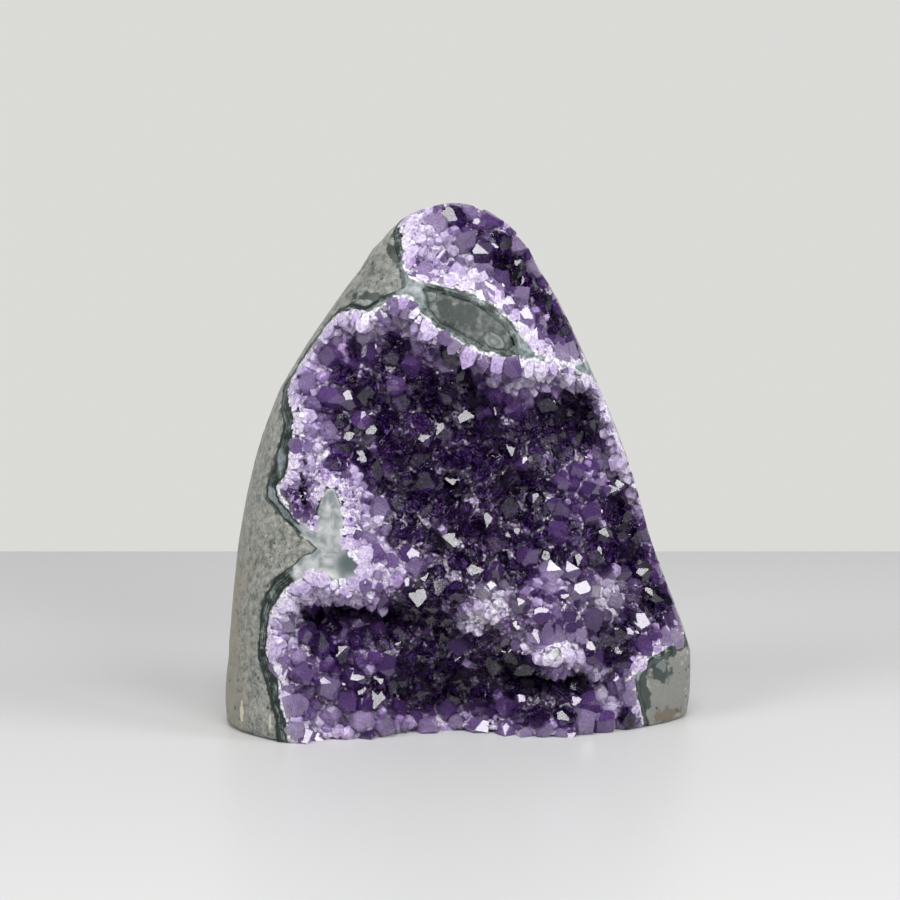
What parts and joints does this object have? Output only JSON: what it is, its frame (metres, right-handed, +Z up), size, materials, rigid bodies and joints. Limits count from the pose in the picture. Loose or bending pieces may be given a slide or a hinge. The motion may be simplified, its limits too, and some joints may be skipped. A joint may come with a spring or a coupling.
{
  "type": "amethyst geode",
  "caption": "Amethyst geode on a sawn flat base: grey-green basalt with an agate lining and a deep cavity crusted with purple quartz points, its outside ground smooth.",
  "frame": {"origin": "on the sawn base, under the middle of the bounding box", "axes": "+Z up from the base to the rounded top, -Y out of the open cavity, X across the face"},
  "size_m": [0.127, 0.0658, 0.14],
  "materials": {
    "basalt": "ground and hand-polished grey-green basalt, semi-matt, with fine mottling and small open vesicles",
    "agate": "polished dark green to blue-grey and white chalcedony, waxy gloss",
    "amethyst": "clear to deep purple quartz points with bright natural faces, paler and milky near their roots"
  },
  "bodies": {
    "root": {"basalt_matrix": "basalt", "agate_lining": "agate", "amethyst_main": "amethyst", "amethyst_upper": "amethyst"}
  },
  "joints": []
}
